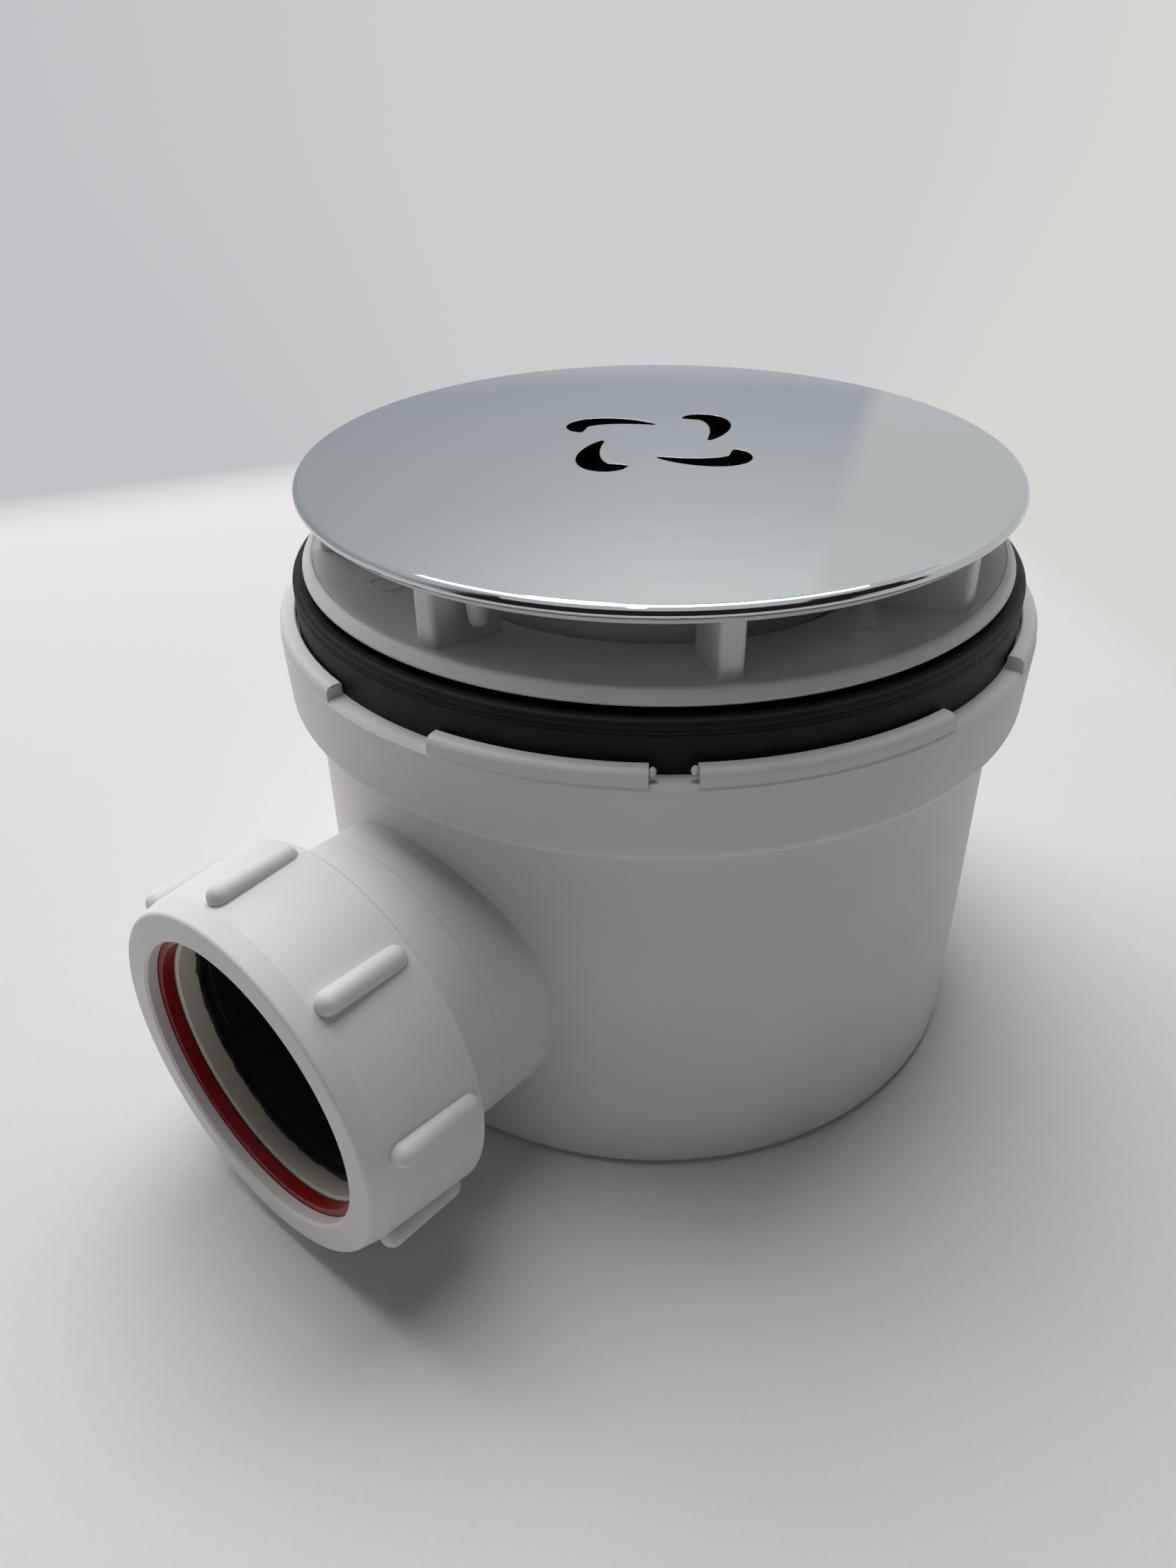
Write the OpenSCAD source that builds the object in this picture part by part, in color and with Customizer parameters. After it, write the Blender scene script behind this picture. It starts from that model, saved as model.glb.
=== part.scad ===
// Low level shower waste: a trap pot with a water seal inside, a flange with
// radial vanes that clamps the tray on a rubber gasket, a domed cover with
// four comma shaped slots, and a compression outlet for a waste pipe.
// Z is up, the pot stands on z = 0 and the outlet points along +X.

/* [Tray] */
// Hole in the shower tray that the flange's skirt passes through
tray_hole_d = 90; // [84:0.5:96]
// Radial room between the tray's hole and the skirt
tray_room = 1.8; // [1.5:0.1:2]

/* [Pot] */
// How much smaller the pot's radius is at its top than at its foot
pot_draft = 0.4; // [0:0.1:1]
// Wall of the pot
pot_wall = 2.6; // [2:0.1:3]
// Thickness of the pot's floor
floor_t = 3; // [2:0.1:4]
// Rounding of the pot's foot
foot_round = 2; // [1:0.1:3]
// Width of the outlet chamber between the weir cup and the pot's wall
chamber_w = 13.5; // [12.5:0.1:14.5]
// Width of the way up between the dip tube and the weir cup
rise_w = 7; // [6:0.1:7.4]
// Wall of the weir cup
weir_wall = 2; // [1.6:0.1:2.4]
// Height of the way under the dip tube's mouth
under_dip = 4.5; // [4:0.1:8]
// Height of the way over the weir, under the top ring's neck
overflow_h = 4.5; // [4:0.1:6]
// Depth of the water seal between the weir and the dip tube's mouth
seal_depth = 50; // [46:1:60]

/* [Top ring] */
// Height of the top ring's outside
ring_h = 12.7; // [11:0.1:16]
// Wall of the top ring outside the pot
ring_wall = 4.05; // [3.5:0.05:5]
// How far the top ring laps over the pot's rim
ring_lap = 9; // [6:0.5:9]
// Height of the neck that the flange screws into
neck_h = 15.2; // [14:0.1:18]
// Wall of that neck
neck_wall = 2.8; // [2.4:0.1:3.2]
// Number of tabs round the gasket, in pairs with a narrow gap between the two
tab_count = 8; // [6:2:10]
// Height of the tabs round the gasket
tab_h = 2.1; // [1.8:0.1:4]
// Thickness of the tabs
tab_t = 2.5; // [2:0.1:3]
// Wide gap between two tabs, in degrees
tab_gap_wide = 19.5; // [14:0.5:26]
// Narrow gap between two tabs, in degrees
tab_gap_narrow = 6; // [4:1:12]
// Turn of the narrow gaps from the middle between the wide ones, in degrees
tab_gap_turn = -3.7; // [-5:0.1:5]

/* [Gaskets] */
// Height of the tray gasket under the flange's edge
gasket_h = 7.7; // [5:0.1:12]
// How far the gaskets stay back from the edge of the tray's hole
gasket_back = 1.5; // [0.5:0.1:3]
// Thickness of the washer under the flange
flange_washer_t = 0.9; // [0.6:0.1:1.5]
// How far the flange washer stays back from the flange's edge
flange_washer_inset = 1.8; // [1:0.1:4]

/* [Flange] */
// How far the flange reaches out past its skirt
flange_over = 13.8; // [12.5:0.1:15]
// Thickness of the flange's dish
flange_t = 2.3; // [2:0.1:3]
// Slope of the dish towards the throat, in degrees
dish_angle = 9.7; // [5:0.1:12]
// Wall of the threaded skirt
skirt_wall = 2.6; // [2.2:0.1:3]
// Wall between the throat and the skirt's outside
throat_wall = 7.2; // [6.8:0.1:8]
// Depth of the dip tube's rim below the throat's rounded edge
throat_drop = 4; // [3:0.1:5]
// Height of the vanes above the flange's edge
vane_h = 10.6; // [8:0.1:14]
// Width of a vane
vane_w = 3.4; // [3:0.1:4]
// Number of vanes
vane_count = 8; // [6:1:8]
// How far the vanes' inner ends stay back from the throat
vane_back = 4.5; // [4:0.1:6]
// How far the vanes' outer ends stay back from the flange's edge
vane_inset = 3; // [2.8:0.1:6]
// Turn of the screwed down flange about its axis, in degrees
flange_turn = 4.2; // [0:0.1:45]

/* [Cover] */
// How far the cover's edge stays back from the flange's edge
cover_inset = 0.2; // [-0.5:0.1:1]
// Rise of the dome from its edge to its middle
cover_rise = 2.4; // [1.5:0.1:5]
// Height of the cap's rounded edge
edge_h = 1.9; // [1.8:0.1:3]
// Radius of the cap's thick middle
hub_r = 19; // [18:0.5:24]
// Thickness of the carrier's plate
carrier_t = 1; // [0.8:0.1:1.5]
// Height of the way under the carrier's skirt, above the dip tube's rim
carrier_gap = 2.2; // [1:0.1:3]
// Radial width of the way down between the throat and the carrier's skirt
skirt_way = 3; // [2.5:0.1:4]
// Scale of a cover slot's spine
slot_size = 1; // [0.8:0.05:1.1]
// Greatest width of a cover slot
slot_w = 4.2; // [3:0.1:4.6]
// Diameter of a peg's end
peg_d = 2.9; // [2.6:0.1:3.1]
// How far the pegs stop above the dish
peg_gap = 3.2; // [1:0.1:5]
// Turn of the cover against the flange, in degrees
cover_turn = 5.2; // [5:0.1:8]

/* [Dip tube] */
// How far the dip tube's rim stands out from the tube
dip_rim_w = 3.1; // [2.9:0.1:4]
// Wall of the dip tube
dip_wall = 1.8; // [1.4:0.1:2.2]
// Height of the dip tube's rim
dip_rim_h = 5; // [4.5:0.1:6]
// Thickness of the O-ring's cord
o_ring_d = 2.2; // [1.8:0.1:2.4]

/* [Outlet] */
// Outside diameter of the waste pipe
pipe_d = 43; // [40:0.5:44]
// Radial room between the pipe and its socket
pipe_room = 0.3; // [0.2:0.05:0.45]
// Distance from the pot's wall to the nut's front face
outlet_reach = 33.9; // [33:0.1:44]
// Length of the pipe's socket behind the seal
socket_l = 8; // [6:0.5:9]
// Wall of the outlet's neck round the socket
socket_wall = 2.8; // [2.4:0.1:3.2]
// Length of the rubber seal
seal_l = 12; // [10:0.5:13]
// Length of the pressure ring
press_l = 3.7; // [3:0.1:5]
// Radial thickness of the seal
seal_wall = 2.6; // [2.2:0.1:3]
// Thickness of the slip washer
slip_t = 1.9; // [1.5:0.1:3]
// Wall of the spigot over the seal, with its thread
spigot_wall = 2.2; // [2:0.1:3]
// Wall of the nut at its front
nut_wall = 2; // [1.8:0.1:3]
// Length of the nut
nut_l = 19.4; // [18:0.1:22]
// Thickness of the nut's inward lip
nut_lip = 2; // [1.5:0.1:3]
// How much wider the nut's barrel is at its rear than at its front, on the radius
nut_draft = 1.1; // [0.5:0.1:1.5]
// Room between the nut's lip and the pipe
lip_room = 1.9; // [1:0.1:2.4]
// How far the grip ribs stay back from the nut's front
rib_front = 3.7; // [3:0.1:5]
// How far they stay back from the nut's rear
rib_back = 1.3; // [1:0.1:3]
// Number of grip ribs on the nut
rib_count = 8; // [6:1:12]
// Width of a grip rib
rib_w = 3.5; // [3:0.1:4]
// How far a rib's axis lies outside the nut's barrel
rib_out = 0.7; // [0.3:0.1:1.2]
// Turn of the tightened nut about its axis, in degrees
nut_turn = -8; // [-22:1:22]

/* [Threads] */
// Pitch of the outlet's thread
outlet_pitch = 3; // [2:0.25:4]
// Pitch of the flange's thread
flange_pitch = 4; // [3:0.25:5]
// Depth of both threads
thread_depth = 1; // [0.6:0.1:1.2]

/* [Hidden] */
$fn = 96;

// Room between pieces: screwed, resting, and pushed together
thread_room = 0.3;
rest_room = 0.1;
push_room = 0.1;
loose_room = 0.3;
cut = 1;

// Radii from the dip tube out to the pot, all worked out from the tray's hole
skirt_r = tray_hole_d / 2 - tray_room;
throat_r = skirt_r - throat_wall;
dip_rim_r = throat_r - loose_room;
dip_r = dip_rim_r - dip_rim_w;
weir_in = dip_r + rise_w;
weir_r = weir_in + weir_wall;
pot_in = weir_r + chamber_w;
pot_top_r = pot_in + pot_wall;
pot_r = pot_top_r + pot_draft;
ring_in = pot_top_r + push_room;
ring_r = ring_in + ring_wall;
neck_in = skirt_r + thread_room;
neck_r = neck_in + neck_wall;
tab_inset = 0.2;
tab_r = ring_r - tab_inset;
tab_in = tab_r - tab_t;
gasket_r = tab_in - loose_room;
gasket_in = tray_hole_d / 2 + gasket_back;
flange_r = skirt_r + flange_over;

// Radii along the outlet, and the height of its axis, at which the ribs clear the floor
pipe_r = pipe_d / 2;
socket_r = pipe_r + pipe_room;
stop_w = 2;
stop_r = pipe_r - stop_w;
recess_r = socket_r + seal_wall;
spigot_r = recess_r + spigot_wall;
nut_in = spigot_r + thread_room;
nut_front_r = nut_in + nut_wall;
nut_rear_r = nut_front_r + nut_draft;
rib_r = nut_front_r + rib_out;
rib_l = nut_l - rib_front - rib_back;
shank_r = socket_r + socket_wall;
ring_clear = 5.5;
floor_clear = 0.15;
outlet_z = rib_r + rib_w / 2 + floor_clear;

// Levels of the stack, from the base up: the water seal sets the neck's height, or
// else the outlet, which has to pass under the top ring
ring_drop = neck_h - ring_h;
neck_z = max(floor_t + under_dip + seal_depth + overflow_h, outlet_z + shank_r + ring_clear - ring_drop);
weir_z = neck_z - overflow_h;
dip_z = weir_z - seal_depth;
ledge_z = neck_z + neck_h;
pot_h = ledge_z - ring_h;
rim_z = pot_h + ring_lap;
flange_z = ledge_z + gasket_h + flange_washer_t + rest_room;
skirt_z = neck_z;
vane_z = flange_z + vane_h;
carrier_z = vane_z + rest_room;
cap_z = carrier_z + carrier_t;

// The flange's dish is a cone: its underside and top at a radius
dish_slope = tan(dish_angle);
dish_rise = flange_t / cos(dish_angle);
function dish_under(r) = flange_z + (r - flange_r) * dish_slope;
function dish_top(r) = dish_under(r) + dish_rise;
rim_inset = 1.5;
throat_round = 1.2;
seat_t = 2.4;
seat_in = dip_r + loose_room;
vane_in = throat_r + vane_back;
vane_out = flange_r - vane_inset;
seat_z = dish_top(throat_r) - throat_round - throat_drop - dip_rim_h;
dip_seat_z = seat_z + rest_room;
dip_rim_z = dip_seat_z + dip_rim_h;
o_ring_r = throat_r - 0.05 - o_ring_d / 2;
o_ring_z = dip_seat_z + dip_rim_h / 2;

// The cover
cover_r = flange_r - cover_inset;
cap_t = edge_h - rest_room;
carrier_r = cover_r - 1.6;
carrier_skirt_r = throat_r - skirt_way;
carrier_skirt_z = dip_rim_z + carrier_gap;
peg_ring_r = vane_in + 7.5;
peg_count = 3;
edge_round = 0.75;
edge_crown = 1.1;
dome_r = cover_r - edge_crown;
dome_z = cap_z + edge_h;
dome_ball = (dome_r * dome_r + cover_rise * cover_rise) / (2 * cover_rise);
function dome(r) = dome_z + cover_rise - dome_ball + sqrt(dome_ball * dome_ball - r * r);

// Stations along the outlet, measured from the pot's axis
nut_face = pot_r + outlet_reach;
lip_x = nut_face - nut_lip;
nut_rear = nut_face - nut_l;
slip_x = lip_x - rest_room - slip_t;
press_x = slip_x - loose_room - press_l;
seal_x = press_x - seal_l;
stop_x = seal_x - socket_l;
spigot_x = slip_x - 2 * loose_room;

// Points on an arc, from angle a0 to angle a1
function arc(c, r, a0, a1, n = 8) =
    [for (i = [0:n]) c + r * [cos(a0 + (a1 - a0) * i / n), sin(a0 + (a1 - a0) * i / n)]];

// Outline of a thread's crests and roots, from station a up to station b
function thread(root, crest, a, b, pitch) =
    [for (i = [0:floor((b - a) / pitch) - 1])
        for (p = [[root, 0.1], [crest, 0.35], [crest, 0.6], [root, 0.85]])
            [p[0], a + (i + p[1]) * pitch]];

// Turns a [radius, station] outline about the outlet's axis
module about_outlet() {
    translate([0, 0, outlet_z])
        rotate([0, 90, 0])
            rotate_extrude()
                children();
}

// A cylinder along the outlet, from station a to station b
module outlet_cylinder(r, a, b) {
    translate([a, 0, outlet_z])
        rotate([0, 90, 0])
            cylinder(r = r, h = b - a);
}

// Shell of the pot, open at the top
module pot_shell() {
    inner_round = 3;
    rotate_extrude()
        polygon(concat(
            [[0, 0]],
            arc([pot_r - foot_round, foot_round], foot_round, -90, 0),
            [[pot_top_r, pot_h], [pot_top_r, rim_z], [pot_in, rim_z]],
            arc([pot_in - inner_round, floor_t + inner_round], inner_round, 0, -90),
            [[0, floor_t]]));
}

module trap_pot() {
    color("whitesmoke")
        difference() {
            union() {
                pot_shell();
                difference() {
                    outlet_cylinder(shank_r, weir_r, stop_x);
                    translate([0, 0, floor_t])
                        cylinder(r = pot_in + pot_wall / 2, h = rim_z);
                }
            }
            outlet_cylinder(stop_r, weir_r + cut, stop_x + cut);
        }
}

// Outer half of the outlet, from the pipe's stop to the spigot's threaded mouth
module outlet_spigot() {
    edge = 0.4;
    thread_root = spigot_r - thread_depth;
    root_x = seal_x - 0.4;
    color("whitesmoke")
        about_outlet()
            polygon(concat(
                [[socket_r, stop_x], [shank_r, stop_x], [shank_r, root_x - thread_root + shank_r],
                 [thread_root, root_x]],
                thread(thread_root, spigot_r, root_x, spigot_x - 2 * edge, outlet_pitch),
                [[thread_root, spigot_x], [recess_r, spigot_x], [recess_r, seal_x], [socket_r, seal_x]]));
}

// Upright wall that stands on the pot's floor: the water rises inside it and falls over its top
module weir_cup() {
    edge = 0.5;
    color("whitesmoke")
        rotate_extrude()
            polygon([[weir_in, floor_t], [weir_r, floor_t], [weir_r, weir_z - edge], [weir_r - edge, weir_z],
                     [weir_in + edge, weir_z], [weir_in, weir_z - edge]]);
}

// Section of a tab, with its outer top edge rounded
module tab_section() {
    tab_round = 1.2;
    polygon(concat(
        [[tab_in, ledge_z - 0.5], [tab_r, ledge_z - 0.5]],
        arc([tab_r - tab_round, ledge_z + tab_h - tab_round], tab_round, 0, 90),
        [[tab_in + 0.2, ledge_z + tab_h], [tab_in, ledge_z + tab_h - 0.2]]));
}

module top_ring() {
    edge = 0.6;
    belly = 2.2;
    ledge_t = ledge_z - rim_z;
    pair_pitch = 720 / tab_count;
    narrow_at = pair_pitch / 2 + tab_gap_turn;
    first_tab = [tab_gap_wide / 2, narrow_at - tab_gap_narrow / 2];
    second_tab = [narrow_at + tab_gap_narrow / 2, pair_pitch - tab_gap_wide / 2];
    color("whitesmoke")
        union() {
            rotate_extrude()
                polygon(concat(
                    [[neck_in, neck_z]],
                    thread(neck_in, neck_in + thread_depth, neck_z, ledge_z - 1, flange_pitch),
                    [[neck_in, ledge_z], [ring_r - edge, ledge_z], [ring_r, ledge_z - edge]],
                    arc([ring_r - 0.3 - belly, pot_h + belly], belly, 0, -90),
                    [[ring_in, pot_h], [ring_in, rim_z], [pot_in - push_room, rim_z],
                     [pot_in - push_room, rim_z - ledge_t], [pot_in - push_room - pot_wall / 2, rim_z - ledge_t],
                     [pot_in - push_room - pot_wall / 2, rim_z], [neck_r, rim_z], [neck_r, neck_z]]));
            for (q = [0:tab_count / 2 - 1])
                for (span = [first_tab, second_tab])
                    rotate([0, 0, pair_pitch * q + span[0]])
                        rotate_extrude(angle = span[1] - span[0])
                            tab_section();
        }
}

// Thick rubber gasket between the top ring's ledge and the tray
module tray_gasket() {
    lip = 0.8;
    line_w = 0.4;
    line_t = 0.15;
    line_pitch = 0.6;
    top_gap = flange_washer_t + 1.5 * rest_room;
    edge_z = dish_under(gasket_r - lip) - top_gap - lip;
    color([0.09, 0.1, 0.11])
        rotate_extrude()
            polygon(concat(
                [[gasket_in, ledge_z], [gasket_r, ledge_z]],
                [for (k = [2:-1:1])
                    for (p = [[0, -line_w / 2], [-line_t, 0], [0, line_w / 2]])
                        [gasket_r + p[0], edge_z - line_pitch * k + p[1]]],
                arc([gasket_r - lip, edge_z], lip, 0, 90, 4),
                [[gasket_in, dish_under(gasket_in) - top_gap]]));
}

// Thin washer between the flange and the tray
module flange_washer() {
    out = flange_r - flange_washer_inset;
    color([0.05, 0.05, 0.06])
        rotate_extrude()
            polygon([[gasket_in, dish_under(gasket_in) - rest_room - flange_washer_t],
                     [out, dish_under(out) - rest_room - flange_washer_t],
                     [out, dish_under(out) - rest_room],
                     [gasket_in, dish_under(gasket_in) - rest_room]]);
}

// Dish, throat and threaded skirt of the flange, turned in one outline
module flange_body() {
    rim_r = flange_r - rim_inset;
    rim_top = dish_top(rim_r) + 0.15;
    rotate_extrude()
        polygon(concat(
            [[flange_r - 0.3, flange_z], [flange_r, flange_z + 0.3], [flange_r, flange_z + 0.7]],
            arc([flange_r - rim_inset, rim_top - 1.2], 1.2, 20, 90, 5),
            [[rim_r - 0.3, dish_top(rim_r - 0.3)]],
            [[throat_r + throat_round, dish_top(throat_r + throat_round)]],
            arc([throat_r + throat_round, dish_top(throat_r) - throat_round], throat_round, 100, 180, 6),
            [[throat_r, seat_z], [seat_in, seat_z], [seat_in, seat_z - seat_t],
             [skirt_r - skirt_wall, seat_z - 2 * seat_t], [skirt_r - skirt_wall, skirt_z],
             [skirt_r - thread_depth, skirt_z]],
            thread(skirt_r - thread_depth, skirt_r, skirt_z, flange_z - 4, flange_pitch),
            [[skirt_r - thread_depth, dish_under(skirt_r - thread_depth)]]));
}

// Radial vanes that hold the cover up and let the water in between them
module vanes() {
    root_sink = dish_rise / 2;
    end_round = 0.8;
    intersection() {
        for (i = [0:vane_count - 1])
            rotate([0, 0, flange_turn + i * 360 / vane_count])
                translate([0, 0, seat_z])
                    linear_extrude(vane_z - seat_z)
                        polygon(concat(
                            [[vane_in - cut, -vane_w / 2]],
                            arc([vane_out - end_round, end_round - vane_w / 2], end_round, -90, 0, 4),
                            arc([vane_out - end_round, vane_w / 2 - end_round], end_round, 0, 90, 4),
                            [[vane_in - cut, vane_w / 2]]));
        rotate_extrude()
            polygon([[vane_in, dish_top(vane_in) - root_sink], [vane_out + cut, dish_top(vane_out + cut) - root_sink],
                     [vane_out + cut, vane_z], [vane_in, vane_z]]);
    }
}

module flange() {
    color("white")
        union() {
            flange_body();
            vanes();
        }
}

// Inner tube that hangs in the pot, with a bar across its mouth to lift it by
module dip_tube() {
    groove_r = o_ring_r - o_ring_d / 2;
    bar_w = 4;
    bar_h = 7;
    bore = dip_r - dip_wall;
    color("gainsboro")
        union() {
            rotate_extrude()
                polygon([[dip_r - 0.6, dip_z], [dip_r, dip_z + 3], [dip_r, dip_seat_z], [dip_rim_r, dip_seat_z],
                         [dip_rim_r, o_ring_z - o_ring_d / 2], [groove_r, o_ring_z - o_ring_d / 2],
                         [groove_r, o_ring_z + o_ring_d / 2], [dip_rim_r, o_ring_z + o_ring_d / 2],
                         [dip_rim_r, dip_rim_z - 0.5], [dip_rim_r - 0.5, dip_rim_z], [dip_rim_r - 1.4, dip_rim_z],
                         [bore, dip_rim_z - dip_rim_h], [bore, dip_z]]);
            intersection() {
                translate([-bore - 0.5, -bar_w / 2, dip_rim_z - dip_rim_h - bar_h])
                    cube([2 * bore + 1, bar_w, bar_h]);
                cylinder(r = bore + dip_wall / 2, h = dip_rim_z);
            }
        }
}

module dip_tube_o_ring() {
    color([0.1, 0.1, 0.1])
        translate([0, 0, o_ring_z])
            rotate_extrude()
                translate([o_ring_r, 0])
                    circle(d = o_ring_d - 0.1, $fn = 32);
}

// Peg under the carrier that keeps the cover from turning between the vanes
module peg() {
    peg_flare = 1.4;
    end_round = 0.8;
    peg_z = dish_top(peg_ring_r) + peg_gap;
    rotate_extrude($fn = 48)
        polygon(concat(
            [[0, peg_z]],
            arc([peg_d / 2 - end_round, peg_z + end_round], end_round, -90, 0, 4),
            [[(peg_d + peg_flare) / 2, carrier_z + carrier_t / 2], [0, carrier_z + carrier_t / 2]]));
}

// Carrier under the cap: its plate rests on the vanes and its skirt drops into the throat
module cover_carrier() {
    skirt_t = 1.6;
    edge = 0.3;
    color("ghostwhite")
        union() {
            rotate_extrude()
                polygon([[hub_r + push_room, carrier_z], [carrier_skirt_r - skirt_t, carrier_z],
                         [carrier_skirt_r - skirt_t, carrier_skirt_z],
                         [carrier_skirt_r - edge, carrier_skirt_z], [carrier_skirt_r, carrier_skirt_z + edge],
                         [carrier_skirt_r, carrier_z], [carrier_r, carrier_z],
                         [carrier_r, cap_z], [hub_r + push_room, cap_z]]);
            for (i = [0:peg_count - 1])
                rotate([0, 0, flange_turn + cover_turn + i * 360 / peg_count])
                    translate([peg_ring_r, 0, 0])
                        peg();
        }
}

// Spine of a slot from its tail (t = 0) round to its hooked tip (t = 1), and its half width there
slot_spine = [[-8.3, -0.2], [-11.8, -6.5], [-10.9, -15.8], [-4.2, -12.1]];
function bezier(p, t) = pow(1 - t, 3) * p[0] + 3 * pow(1 - t, 2) * t * p[1]
                        + 3 * (1 - t) * t * t * p[2] + pow(t, 3) * p[3];
function bezier_way(p, t) = 3 * pow(1 - t, 2) * (p[1] - p[0]) + 6 * (1 - t) * t * (p[2] - p[1])
                            + 3 * t * t * (p[3] - p[2]);
function swell(t) = t < 0.62 ? pow(sin(90 * t / 0.62), 0.8) : sqrt(max(0, 1 - pow((t - 0.62) / 0.38, 2)));
function slot_edge(t, side) =
    let (way = bezier_way(slot_spine, t), half = side * (0.3 + (slot_w / 2 - 0.3) * swell(t)))
    slot_size * bezier(slot_spine, t) + half * [-way[1], way[0]] / norm(way);

// Comma shaped slot: one edge out along the spine, the other back
module slot_outline() {
    steps = 18;
    polygon(concat([for (i = [0:steps]) slot_edge(i / steps, 1)],
                   [for (i = [steps:-1:0]) slot_edge(i / steps, -1)]));
}

module cover_cap() {
    n = 10;
    seat_r = cover_r - 3.2;
    slot_turn = 128.4;
    color("lightgray")
        difference() {
            rotate_extrude()
                polygon(concat(
                    [[0, carrier_z], [hub_r - 0.5, carrier_z], [hub_r, carrier_z + 0.5]],
                    [for (i = [0:n]) [hub_r + (seat_r - hub_r) * i / n, dome(hub_r + (seat_r - hub_r) * i / n) - cap_t]],
                    [[seat_r, cap_z]],
                    arc([cover_r - edge_round, cap_z + edge_round], edge_round, -90, 0, 5),
                    arc([cover_r - edge_crown, dome_z - edge_crown], edge_crown, 0, 88, 6),
                    [for (i = [n - 1:-1:0]) [dome_r * i / n, dome(dome_r * i / n)]]));
            for (i = [0:3])
                rotate([0, 0, slot_turn + 90 * i])
                    translate([0, 0, carrier_z - cut])
                        linear_extrude(cover_rise + edge_h + carrier_t + 2 * cut)
                            slot_outline();
        }
}

module outlet_seal() {
    inner = pipe_r + 0.1;
    outer = recess_r - push_room;
    color([0.06, 0.06, 0.06])
        about_outlet()
            polygon([[inner + 0.6, seal_x], [outer - 0.8, seal_x], [outer, seal_x + 2],
                     [outer, press_x], [inner, press_x], [inner, seal_x + 1.5]]);
}

module pressure_ring() {
    inner = pipe_r + 0.5;
    outer = recess_r - 2 * push_room;
    color("antiquewhite")
        about_outlet()
            polygon([[inner, press_x], [outer, press_x], [outer, press_x + press_l],
                     [inner + 0.4, press_x + press_l], [inner, press_x + press_l - 0.4]]);
}

module slip_washer() {
    inner = pipe_r + 0.8;
    outer = nut_in - 0.5;
    color("crimson")
        about_outlet()
            polygon([[inner, slip_x], [outer, slip_x], [outer, slip_x + slip_t - 0.5],
                     [outer - 0.5, slip_x + slip_t], [inner, slip_x + slip_t]]);
}

// Grip rib: a bar along the nut with round ends, sunk into the barrel
module grip_rib() {
    rib_x = nut_rear + rib_back;
    translate([rib_x + rib_w / 2, 0, rib_r])
        rotate([0, 90, 0])
            cylinder(d = rib_w, h = rib_l - rib_w);
    for (x = [rib_x + rib_w / 2, rib_x + rib_l - rib_w / 2])
        translate([x, 0, rib_r])
            sphere(d = rib_w);
}

module outlet_nut() {
    lip_in = pipe_r + lip_room;
    edge = 0.7;
    bevel_l = 3.4;
    bevel_w = 0.7;
    thread_x = lip_x - slip_t - 1.5;
    color("white")
        difference() {
            union() {
                about_outlet()
                    polygon(concat(
                        [[nut_in - cut, nut_rear], [nut_rear_r - 0.5, nut_rear], [nut_rear_r, nut_rear + 0.5],
                         [nut_front_r, nut_face - bevel_l]],
                        arc([nut_front_r - bevel_w - edge, nut_face - edge], edge, 15, 90, 4),
                        [[lip_in + 0.4, nut_face], [lip_in, nut_face - 0.4], [lip_in, lip_x - cut],
                         [nut_in - cut, lip_x - cut]]));
                for (i = [0:rib_count - 1])
                    translate([0, 0, outlet_z])
                        rotate([-nut_turn - i * 360 / rib_count, 0, 0])
                            grip_rib();
            }
            about_outlet()
                polygon(concat(
                    [[0, nut_rear - cut], [nut_in + 0.8, nut_rear - cut], [nut_in + 0.8, nut_rear], [nut_in, nut_rear + 0.8]],
                    thread(nut_in, nut_in + thread_depth * 0.8, nut_rear + 0.8, thread_x, outlet_pitch),
                    [[nut_in, lip_x], [0, lip_x]]));
        }
}

trap_pot();
outlet_spigot();
weir_cup();
top_ring();
tray_gasket();
flange_washer();
flange();
dip_tube();
dip_tube_o_ring();
cover_carrier();
cover_cap();
outlet_seal();
pressure_ring();
slip_washer();
outlet_nut();
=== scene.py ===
"""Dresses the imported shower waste: a finish for each moulding, the small moulding marks
that the solids leave out, and a plain pale studio seen from the photograph's angle."""

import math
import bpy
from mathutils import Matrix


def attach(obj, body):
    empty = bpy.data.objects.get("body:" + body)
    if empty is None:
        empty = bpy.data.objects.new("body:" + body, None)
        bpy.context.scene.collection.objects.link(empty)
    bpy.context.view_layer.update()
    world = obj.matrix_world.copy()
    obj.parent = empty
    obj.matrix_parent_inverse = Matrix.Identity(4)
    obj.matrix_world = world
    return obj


bl_info = {
    "name": "Shower waste",
    "version": (1, 0, 0),
    "blender": (4, 5, 0),
    "location": "3D View > Sidebar > Shower waste",
    "description": "Finishes, moulding marks and studio for a shower waste with a side outlet",
    "category": "Object",
}

import bpy
from mathutils import Matrix, Vector

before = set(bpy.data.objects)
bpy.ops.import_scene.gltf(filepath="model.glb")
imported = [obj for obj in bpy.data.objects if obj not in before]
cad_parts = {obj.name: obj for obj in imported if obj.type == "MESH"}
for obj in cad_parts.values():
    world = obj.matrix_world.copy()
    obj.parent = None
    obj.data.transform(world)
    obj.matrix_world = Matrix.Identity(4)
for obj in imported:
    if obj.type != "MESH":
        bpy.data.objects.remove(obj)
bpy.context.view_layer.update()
MM = 0.001

OUTLET_Z = 31.5 * MM

# Where the ejector pins' marks lie round the flange, in degrees: three that show, the rest a bay apart
PIN_TURNS = (-23.4, 26.3, 76.7, 121.5, 166.5, 211.5, 256.5, 301.5)
PIN_OUT, PIN_Z = 46.0 * MM, 86.39 * MM


# Colours and nodes

def linear(code):
    """Turns an sRGB hex code into the linear colour that shaders take."""
    parts = [int(code[i:i + 2], 16) / 255 for i in (1, 3, 5)]
    return tuple(p / 12.92 if p <= 0.04045 else ((p + 0.055) / 1.055) ** 2.4 for p in parts)


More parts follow.
